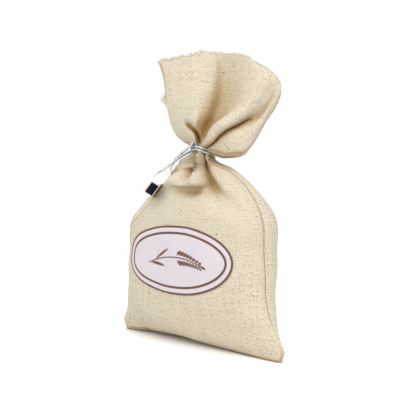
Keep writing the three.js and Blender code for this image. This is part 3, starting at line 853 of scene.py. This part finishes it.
    def ruffle_points(self, side: Side, across: Array, share: Array) -> Array:
        """Places points of the fanned ruffle.

        Each thread line runs out from the neck at an angle of the fan, which leaves the neck flat at both
        edges and turns upright, and it stands out by the height of its fold. The neck's ring fades out with
        the square of the way left, and the fan turns round the neck's axis. A short crease runs up to the
        left from the neck. At the right the front's rim rolls back along a circle.

        Args:
            side: the panel.
            across: share of the way round from the left, rows by columns.
            share: share of the way from the neck to the rim, one per row.

        Returns:
            Points, rows by columns by 3.
        """
        table = self.fan(side)
        weights = curve_weights(across, table[:, 0])
        levels = curve_weights(share, np.array([0.0, 0.25, 0.6, 1.0]))[:, 1:]
        levels[:, 0] += 1.0 - levels.sum(axis=1)
        place = np.einsum("rl,kl,rck->rc", levels, table[:, 1:4], weights)
        height = np.einsum("rl,kl,rck->rc", levels, table[:, 4:7], weights)
        height = height * np.clip(share / 0.3, 0.0, 1.0)[:, None] ** 0.8
        way = share[:, None]
        left = 1.0 - way
        start = self.fan_left - self.flare * left ** self.flare_power
        # The fan's right edge: share of the way to the rim, and degrees from upright
        edge = np.array([(0.0, 104.0), (0.13, 104.0), (0.22, 98.0), (0.36, 91.0), (0.45, 82.5), (0.55, 74.5),
                         (0.7, 65.0), (0.85, 59.5), (1.0, 53.0)])
        end = (curve_weights(share, edge[:, 0]) @ edge[:, 1])[:, None]
        reach = self.ruffle_length + 0.25 * np.sin(19.0 * across + 1.0) + 0.2 * np.sin(41.0 * across)
        reach = reach + bell(across, 0.0, 0.12)
        reach = reach - 0.6 * bell(place, 0.25, 0.14) + 1.6 * bell(place, 0.62, 0.12)
        length = way * reach
        if side is Side.BACK:
            start = start - 13.0 * way
            length = length * (0.97 - 0.3 * bell(place, 0.0, 0.19) - 0.08 * bell(place, 0.82, 0.12))
            height = -height
        else:
            crease_at = 0.30 - 0.95 * (way - 0.21)
            height = height - 3.6 * bell(place, crease_at, 0.035) * between(way, 0.03, 0.13, 0.26, 0.4)
            rolled = between(place, 0.66, 0.8, 0.93, 1.0)
            length = length * (1.0 + 0.1 * rolled - 0.03 * ease(place, 0.9, 1.0))
            past = np.clip(way - self.roll_start, 0.0, 1.0) * self.roll_rate
            length = length - rolled * (past - np.sin(past)) / self.roll_rate * reach
            height = height - rolled * (1.0 - np.cos(past)) / self.roll_rate * reach
        fan_angle = np.radians(start + (end - start) * place)
        angle = math.pi * across
        ring = self.neck_radius * left ** 2
        turn = np.radians(self.fan_turn) * ease(way, 0.0, 0.6)
        view = np.radians(self.seen_from) - turn
        nearer = (length * np.sin(fan_angle) * np.tan(view) + height / np.cos(view)) / self.seen_at
        length = length * (1.0 - nearer)
        wide = (length * np.sin(fan_angle) + height * np.sin(view)) / np.cos(view) - ring * np.cos(angle)
        deep = height + side.value * ring * np.sin(angle)
        up = self.neck_height + length * np.cos(fan_angle)
        x = wide * np.cos(turn) + deep * np.sin(turn)
        y = wide * np.sin(turn) - deep * np.cos(turn)
        return np.stack([x, y, up], axis=-1)

    def tilted(self, points: Array) -> Array:
        """Tips the gathered neck, down on the right and up on the left.

        The drop is the hyperbolic tangent of the way across, times a bell of the height.

        Args:
            points: points of a panel, on a last axis of 3.

        Returns:
            The points, tipped.
        """
        seen = np.radians(self.seen_from)
        across = points[..., 0] * math.cos(seen) + points[..., 1] * math.sin(seen)
        drop = self.neck_tilt * np.tanh(across / 5.0) * bell(points[..., 2], self.neck_height, 6.0)
        return points - drop[..., None] * np.array([0.0, 0.0, 1.0])

    def panel_points(self, side: Side) -> tuple[Array, Array]:
        """Places one panel's grid, the back's from the front edge of the base, to the rim.

        Args:
            side: the panel.

        Returns:
            The points, rows by columns by 3, and their flat places on the cloth in millimetres.
        """
        along = np.linspace(0.0, 1.0, self.columns)
        rise = np.linspace(0.0, 1.0, self.body_rows)
        height = self.neck_height * (1.0 - (1.0 - rise) ** self.row_crowding)
        share = np.linspace(0.0, 1.0, self.ruffle_rows + 1)[1:]
        first, second = self.seams(np.concatenate([height, self.neck_height + self.ruffle_length * share]))
        if side is Side.BACK:
            first, second = second, first + 2.0 * math.pi
        angle = first[:, None] + (second - first)[:, None] * along
        body = self.body_points(angle[:self.body_rows], np.repeat(height[:, None], self.columns, axis=1))
        turned = angle[self.body_rows:]
        before = self.ruffle_points(Side.FRONT, np.clip(turned / math.pi, 0.0, 1.0), share)
        behind = self.ruffle_points(Side.BACK, np.clip(2.0 - turned / math.pi, 0.0, 1.0), share)
        ruffle = np.where((turned <= math.pi)[..., None], before, behind)
        points = self.tilted(np.concatenate([self.tag.make_room(body), ruffle]))
        if side is Side.BACK:
            points = np.concatenate([self.underside(points[0], angle[0]), points])
        gaps = np.linalg.norm(np.diff(points, axis=1), axis=-1)
        run = np.concatenate([np.zeros((len(points), 1)), np.cumsum(gaps, axis=1)], axis=1)
        steps = np.linalg.norm(np.diff(points, axis=0), axis=-1).mean(axis=1)
        length = np.concatenate([[0.0], np.cumsum(steps)])
        u = run / run[:, -1:] * self.panel_width
        return points, np.stack([u, np.broadcast_to(length[:, None], u.shape)], axis=-1)

    def underside(self, rear: Array, angle: Array) -> Array:
        """Lays the cloth under the bag, straight from the front edge of the base back to the rear edge.

        Args:
            rear: points of the base's rear edge.
            angle: their angles round the bag.

        Returns:
            Points, rows by columns by 3, without the rear edge itself.
        """
        front = self.body_points(2.0 * math.pi - angle, np.zeros_like(angle))
        back = np.linspace(0.0, 1.0, self.floor_rows, endpoint=False)[:, None, None]
        return front + (rear - front) * back

    def fringe(self, side: Side, points: Array) -> tuple[Array, Array]:
        """Frays the raw rim: short warp ends stand on from it, where it isn't rolled back.

        Args:
            side: the panel.
            points: the panel's grid, rows by columns by 3.

        Returns:
            The points and the faces of the thread ends.
        """
        chance = np.random.default_rng(3)
        bounds = (0.0, 0.66) if side is Side.FRONT else (0.1, 1.0)
        at = np.sort(chance.uniform(*bounds, self.fringe_count)) * (self.columns - 1)
        columns = np.arange(self.columns)
        rim = read_path(points[-1], columns, at)
        ahead = unit(rim - read_path(points[-3], columns, at))
        ahead = ahead + chance.normal(0.0, self.fringe_spread, ahead.shape)
        ragged = 0.7 + 0.5 * np.sin(0.31 * at) * np.sin(0.83 * at + 1.0)
        tips = rim + ahead * (ragged * chance.uniform(0.5, 1.15, len(at)))[:, None]
        return threads(rim - self.fringe_root * ahead, tips, self.fringe_radius)

    def build(self) -> None:
        calico = Calico().build()
        # Raw cotton ends: paler than the weave and matt, with a soft fibre grain
        loose = Plain("loose_cotton_thread", "f6efdf", "e2d4b4", 0.5, 0.95).build()
        for side, name in ((Side.FRONT, "front_panel"), (Side.BACK, "back_panel")):
            points, flat = self.panel_points(side)
            faces = grid_faces(*points.shape[:2])
            piece = make_piece(name + "_cloth", points.reshape(-1, 3), faces, flat.reshape(-1, 2))
            thicken(piece, self.cloth)
            seat(piece, "calico", calico, name)
            frayed = make_piece(name + "_frayed_rim", *self.fringe(side, points))
            seat(frayed, "calico", loose)


@dataclass
class Tie:
    """The silver cord: two turns round the neck, a knot and two tails."""

    diameter: float = 1.2
    turns: int = 2
    turn_points: int = 48
    radius: float = 4.6
    low: float = 82.0
    rise: float = 2.6
    tilt: float = 1.9
    heading: float = 226.0
    seen_from: float = VIEW_HEADING
    step: float = 0.33
    corners: int = 12
    lay_mm: float = 2.6
    waist: float = 0.72
    knot_scale: float = 0.6
    knot_points: int = 96
    knot_corners: int = 10
    knot_thinness: float = 0.92
    filaments: int = 9
    filament_radius: float = 0.11

    def seen_points(self, places: list[tuple[float, float, float]]) -> Array:
        """Turns places to the right, towards the viewer and up into points."""
        cosine, sine = math.cos(math.radians(self.seen_from)), math.sin(math.radians(self.seen_from))
        return np.array(places) @ np.array([(cosine, sine, 0.0), (sine, -cosine, 0.0), (0.0, 0.0, 1.0)])

    def route(self) -> Array:
        """Lays the cord: end, upper tail, turns round the neck, lower tail through the tag's hole, end.

        Returns:
            Points about a step apart on a smooth curve.
        """
        turn = np.linspace(0.0, 2.0 * math.pi * self.turns, self.turn_points * self.turns + 1)
        height = self.low + self.rise * np.linspace(0.0, 1.0, len(turn)) + self.tilt * np.cos(turn)
        angle = turn + np.radians(self.heading)
        winding = np.stack([self.radius * np.cos(angle), self.radius * np.sin(angle), height], axis=-1)
        upper = self.seen_points([(-18.6, 9.4, 73.9), (-14.2, 7.4, 77.4), (-9.5, 3.8, 81.0)])
        lower = self.seen_points([(-9.4, 0.4, 82.9), (-12.6, 0.4, 79.8), (-14.6, 0.5, 76.6),
                                  (-14.8, 0.5, 74.3), (-14.3, 0.5, 73.4)])
        points = np.concatenate([upper, winding, lower])
        at = way_along(points)
        even = np.linspace(0.0, at[-1], int(at[-1] / self.step))
        return curve_weights(even, at) @ points

    def build(self) -> None:
        # Metallised yarn: bright silver, with glints broken up by a fine grain
        silver = Plain("silver_foil_cord", "d9dce2", "8f949d", 0.5, 0.28, metallic=1.0, bump=0.5).build()
        path = self.route()
        twist = math.pi * self.step / self.lay_mm * np.arange(len(path))[:, None]
        lobes = np.abs(np.cos(full_turn(self.corners) + twist))
        reach = self.diameter / 2 * (self.waist + (1.0 - self.waist) * lobes)
        piece = make_piece("neck_cord", *sweep(path, reach, np.array([0.05, 0.1, 1.0])))
        seat(piece, "silver_cord", silver, "neck_winding", "upper_tail", "lower_tail")
        knot = self.knot(silver)
        fray = self.fray(silver, path)

    def knot(self, silver: Material) -> Object:
        """Makes the knot, a flattened trefoil of the same cord.

        Its path is sines and cosines of once, twice and three times the angle, and a circle follows it.

        Args:
            silver: the cord's material.

        Returns:
            The knot.
        """
        t = full_turn(self.knot_points)
        loop = [np.sin(t) + 2 * np.sin(2 * t), np.cos(t) - 2 * np.cos(2 * t), -1.6 * np.sin(3 * t)]
        turn = np.radians(self.heading)
        outward = np.array([math.cos(turn), math.sin(turn), 0.0])
        beside = np.array([-math.sin(turn), math.cos(turn), 0.0])
        up = np.array([0.0, 0.0, 1.0])
        centre = outward * (self.radius + 0.2) + up * (self.low + self.rise / 2 + self.tilt)
        path = centre + self.knot_scale * np.stack(loop, axis=-1) @ np.array([up, beside, outward])
        along = unit(np.roll(path, -1, axis=0) - np.roll(path, 1, axis=0))
        ring = spokes(along, outward + 0.3 * up, full_turn(self.knot_corners))
        points = path[:, None] + self.knot_thinness * self.diameter / 2 * ring
        faces = grid_faces(len(path) + 1, self.knot_corners, closed=True)[:, ::-1]
        faces = faces % (len(path) * self.knot_corners)
        piece = make_piece("neck_knot_cord", points.reshape(-1, 3), faces)
        seat(piece, "silver_cord", silver, "neck_knot")
        return piece

    def fray(self, silver: Material, path: Array) -> Object:
        """Makes the loose filaments at the free end of the upper tail.

        Args:
            silver: the cord's material.
            path: the cord's path, from that end.

        Returns:
            The filaments.
        """
        chance = np.random.default_rng(7)
        ahead = unit(path[0] - path[3])
        spread = chance.normal(0.0, 0.35, (self.filaments, 3))
        roots = path[0] + chance.normal(0.0, 0.2, (self.filaments, 3))
        tips = roots + (ahead + spread) * chance.uniform(1.2, 2.6, (self.filaments, 1))
        piece = make_piece("frayed_cord_end", *threads(roots, tips, self.filament_radius))
        seat(piece, "silver_cord", silver)
        return piece


@dataclass
class Label:
    """The oval paper label on the front panel, with a small printed sprig."""

    width: float = 60.0
    height: float = 29.0
    middle: tuple[float, float] = (0.4, 36.5)
    squareness: float = 2.15
    lift: float = 0.3
    paper: float = 0.2
    rings: int = 100
    corners: int = 240

    def on_front(self, bag: Bag, x: Array, z: Array) -> Array:
        """Lays flat places on the bag's front, by the angle that has the wanted place across at that height.

        Args:
            bag: the bag.
            x: places across.
            z: heights.

        Returns:
            Points that stand off the cloth by the lift, on a last axis of 3.
        """
        turns = np.linspace(0.05, math.pi - 0.05, 400)
        heights = np.linspace(z.min(), z.max(), 60)
        grid = bag.body_points(*np.meshgrid(turns, heights))[..., 0]
        row = (z - heights[0]) / (heights[1] - heights[0])
        low = np.clip(np.floor(row).astype(int), 0, len(heights) - 2)
        part = row - low
        angle = np.zeros_like(x)
        for at in range(len(heights) - 1):
            here = low == at
            lower = np.interp(x[here], grid[at], turns)
            upper = np.interp(x[here], grid[at + 1], turns)
            angle[here] = lower + (upper - lower) * part[here]
        points = bag.body_points(angle, z)
        points[..., 1] -= self.lift
        return points

    def sprig(self, x: Array, z: Array) -> Array:
        """Says where the printed lavender sprig has ink.

        A bent stem with two long leaves and pairs of buds that grow smaller to the tip, each an ellipse:
        centre, half length, half width and slant.

        Args:
            x: places across, from the label's middle.
            z: heights from the label's middle.

        Returns:
            1 in the ink, 0 off it, and between them at its edges.
        """
        up = np.repeat([1.0, -1.0], 8)
        far = np.tile(np.linspace(0.0, 1.0, 8), 2)
        buds = [3.0 + 12.0 * far, up * (2.1 - 1.1 * far), 1.5 - 0.5 * far, 0.75 - 0.2 * far, up * 0.6]
        leaves = [(-7.6, 1.9, 4.6, 0.6, 0.36), (-10.4, -1.9, 4.6, 0.6, -0.36)]
        tip = (16.6, 0.0, 1.2, 0.6, 0.0)
        across, above, long, wide, slant = np.concatenate([np.stack(buds, axis=-1), leaves, [tip]]).T
        bent = z - 1.2 + 0.012 * x ** 2
        right, over = x[..., None] - across, bent[..., None] - above
        lengthways = (right * np.cos(slant) + over * np.sin(slant)) / long
        sideways = (over * np.cos(slant) - right * np.sin(slant)) / wide
        blots = ease(np.hypot(lengthways, sideways).min(axis=-1), 1.2, 0.8)
        stem = ease(np.abs(bent), 0.4, 0.15) * ease(np.abs(x), 16.6, 16.0)
        return np.maximum(blots, stem)

    def build(self, bag: Bag) -> None:
        """Makes the label as superellipses that shrink to its middle, with each point's way to the edge.

        Args:
            bag: the bag that it is stuck on.
        """
        share = np.linspace(1.0, 0.0, self.rings)[:, None]
        turn = full_turn(self.corners)
        cosine, sine = np.cos(turn), np.sin(turn)
        power = 2.0 / (self.squareness - 0.15 * cosine)
        x = self.width / 2 * share * np.sign(cosine) * np.abs(cosine) ** power
        z = self.height / 2 * share * np.sign(sine) * np.abs(sine) ** power
        apart = np.hypot(x[..., None] - x[0], z[..., None] - z[0])
        inset = np.where(share == 1.0, 0.0, apart.min(axis=-1))
        points = self.on_front(bag, self.middle[0] + x, self.middle[1] + z)
        flat = np.stack([np.broadcast_to(turn, x.shape), inset], axis=-1)
        faces = grid_faces(self.rings, self.corners, closed=True)
        piece = make_piece("oval_label_paper", points.reshape(-1, 3), faces, flat.reshape(-1, 2))
        ink = piece.data.attributes.new("Ink", "FLOAT", "POINT")
        ink.data.foreach_set("value", self.sprig(x, z).astype(np.float32).ravel())
        thicken(piece, self.paper)
        seat(piece, "label_paper", LabelPaper().build(), "oval_label")


@dataclass
class Filling:
    """The dried lavender in the bag, one settled mass of buds."""

    clearance: float = 5.0
    low: float = 5.2
    top: float = 58.0
    middle_y: float = -4.0
    rows: int = 96
    columns: int = 160
    bud_mm: float = 2.4
    ripple: float = 0.35

    def build(self, bag: Bag) -> None:
        """Makes the mass: the bag's surface drawn in by a clearance, with a bud-sized ripple of two sines.

        Args:
            bag: the bag that holds it.
        """
        # Dry flower buds: matt violet grey, mottled with brown chaff
        buds = Plain("dried_lavender", "8d82a8", "6a6350", 1.6, 0.95, bump=0.8).build()
        around, up = np.meshgrid(full_turn(self.columns), np.linspace(self.low, self.top, self.rows))
        shell = bag.body_points(around, up)
        middle = np.stack([np.zeros_like(up), np.full_like(up, self.middle_y), up], axis=-1)
        reach = np.linalg.norm(shell - middle, axis=-1, keepdims=True)
        wave = 2.0 * math.pi / self.bud_mm
        ripple = np.sin(wave * up + 5.0 * around) * np.sin(wave * (0.8 * shell[..., 0] - 0.6 * up))
        drawn_in = self.clearance - self.ripple * ripple[..., None]
        points = middle + (shell - middle) * (1.0 - drawn_in / reach)
        ends = np.array([(0.0, self.middle_y, self.low), (0.0, self.middle_y, self.top)])
        points = np.concatenate([points.reshape(-1, 3), ends])
        piece = make_piece("lavender_buds", points, tube_faces(self.rows, self.columns))
        seat(piece, "dried_lavender", buds, "lavender_filling")


@dataclass
class Stitching:
    """The sewing thread of the two side seams and of the bottom seam."""

    diameter: float = 0.75
    corners: int = 6
    stitch: float = 2.4
    step: float = 0.3
    margin: float = 0.4
    dip: float = 0.14
    sink: float = 0.05
    hidden_left: float = 0.7
    hidden_below: float = 1.05
    middle: tuple[float, float, float] = (0.0, -2.0, 0.0)

    def build(self, panel: Array) -> None:
        """Makes the three rows of stitches on the front panel's edges.

        The thread rises and dips as the cosine of the way along the seam, once a stitch. It lies hidden in
        the cloth along the base and in the ruffle's left edge.

        Args:
            panel: the front panel's grid of points, rows by columns by 3.
        """
        # Spun cotton: matt and tan, a little darker than the cloth, with a fine grain
        cotton = Plain("cotton_sewing_thread", "d4ba8c", "a28252", 0.4, 0.9).build()
        edges = {"left": panel[:, 0], "right": panel[:, -1], "bottom": panel[0]}
        for name, edge in edges.items():
            at = way_along(edge)
            even = np.arange(self.margin, at[-1] - self.margin, self.step)
            path = read_path(edge, at, even)
            inward = unit((np.array(self.middle) - path) * np.array([1.0, 1.0, 0.0]))
            depth = self.sink + self.dip * (0.5 - 0.5 * np.cos(2.0 * math.pi * even / self.stitch))
            if name == "left":
                depth = depth + self.hidden_left * ease(path[:, 2], 80.0, 88.0)
            elif name == "bottom":
                depth = depth + self.hidden_below
            reach = np.full((len(path), self.corners), self.diameter / 2)
            tube = sweep(path + inward * depth[:, None], reach, np.array([0.3, 1.0, 0.2]))
            seat(make_piece(name + "_seam_stitches", *tube), "sewing_thread", cotton, name + "_seam_thread")


@dataclass
class Studio:
    """The camera at the photograph's angle, soft lamps, and a pale floor."""

    camera_mm: tuple[float, float, float] = (195.94, -200.88, 62.54)
    heading: float = VIEW_HEADING
    pitch: float = 0.9
    lens: float = 55.2
    aim_height: float = 60.0
    floor_half: float = 4000.0
    shadow_mm: float = 18.0
    shadow_range: tuple[float, float] = (0.3, 0.95)
    floor_glow: float = 0.66
    world_light: float = 0.42

    def build(self) -> None:
        """Sets up the camera, the lamps, the floor and the world."""
        scene = bpy.context.scene
        scene.view_settings.view_transform = "Standard"
        data = bpy.data.cameras.new("camera")
        data.lens = self.lens
        data.clip_start = 0.01
        camera = bpy.data.objects.new("camera", data)
        camera.location = [v * MM for v in self.camera_mm]
        camera.rotation_euler = (math.radians(90.0 - self.pitch), 0.0, math.radians(self.heading))
        scene.collection.objects.link(camera)
        scene.camera = camera
        self.lamp("key", (0.3, -0.37, 0.62), 0.7, 2.6)
        self.lamp("right_fill", (0.56, 0.08, 0.32), 0.5, 0.9)
        self.lamp("left_fill", (-0.2, -0.5, 0.3), 0.6, 0.8)
        self.floor()
        self.world()

    def lamp(self, name: str, place: tuple[float, float, float], size: float, power: float) -> None:
        """Adds a square lamp that faces the bag.

        Args:
            name: its name.
            place: where it stands, in metres.
            size: its side in metres.
            power: its power in watts.
        """
        data = bpy.data.lights.new(name, "AREA")
        data.energy = power
        data.size = size
        lamp = bpy.data.objects.new(name, data)
        lamp.location = place
        x, y, z = place
        above = z - self.aim_height * MM
        lamp.rotation_euler = (math.atan2(math.hypot(x, y), above), 0.0, math.atan2(x, -y))
        bpy.context.scene.collection.objects.link(lamp)

    def seen(self, tree: NodeTree) -> Node:
        """Adds nodes that tell rays which see the surroundings from rays of light.

        Args:
            tree: the node tree.

        Returns:
            A node that gives 1 to the camera's rays, mirrored or through glass too, and 0 to light.
        """
        rays = node(tree, "LightPath", {}).outputs
        seen = rays["Is Camera Ray"]
        for kind in ("Is Glossy Ray", "Is Transmission Ray"):
            seen = node(tree, "Math", {0: seen, 1: rays[kind]}, operation="MAXIMUM")
        return seen

    def floor(self) -> None:
        """Lays a wide pale floor that looks white, keeps the lamps' shadow and has a painted contact shadow.
        """
        corners = np.array([(-1.0, -1.0, 0.0), (1.0, -1.0, 0.0), (1.0, 1.0, 0.0), (-1.0, 1.0, 0.0)])
        piece = make_piece("floor", self.floor_half * corners, np.array([[0, 1, 2, 3]]))
        material = bpy.data.materials.new("white_paper_floor")
        material.use_nodes = True
        tree = material.node_tree
        tree.nodes.clear()
        # Painted shadow: occlusion near the bag dims the floor's glow under and beside it
        near = node(tree, "AmbientOcclusion", {"Distance": self.shadow_mm * MM}, samples=12).outputs["AO"]
        dark, clear = self.shadow_range
        open_air = node(tree, "MapRange", {0: near, 1: dark, 2: clear, 3: 0.0, 4: self.floor_glow})
        strength = node(tree, "Math", {0: self.seen(tree), 1: open_air}, operation="MULTIPLY")
        glow = node(tree, "Emission", {"Strength": strength})
        paper = node(tree, "BsdfDiffuse", {"Color": linear("f2f2f2")})
        node(tree, "OutputMaterial", {"Surface": node(tree, "AddShader", {0: paper, 1: glow})})
        piece.data.materials.append(material)

    def world(self) -> None:
        """Makes the surroundings white to the eye and softer as light."""
        world = bpy.data.worlds.new("studio")
        bpy.context.scene.world = world
        world.use_nodes = True
        tree = world.node_tree
        strength = node(tree, "MapRange", {0: self.seen(tree), 3: self.world_light, 4: 1.0})
        feed(tree.nodes["Background"], {"Color": WHITE, "Strength": strength})


def main() -> None:
    """Builds the studio and then each sub-assembly."""
    logging.basicConfig(level=logging.INFO, format="%(name)s %(message)s")
    Studio().build()
    Tie().build()
    bag = Bag()
    bag.build()
    Label().build(bag)
    bag.tag.dress()
    Filling().build(bag)
    Stitching().build(bag.panel_points(Side.FRONT)[0])


if __name__ == "__main__":
    main()
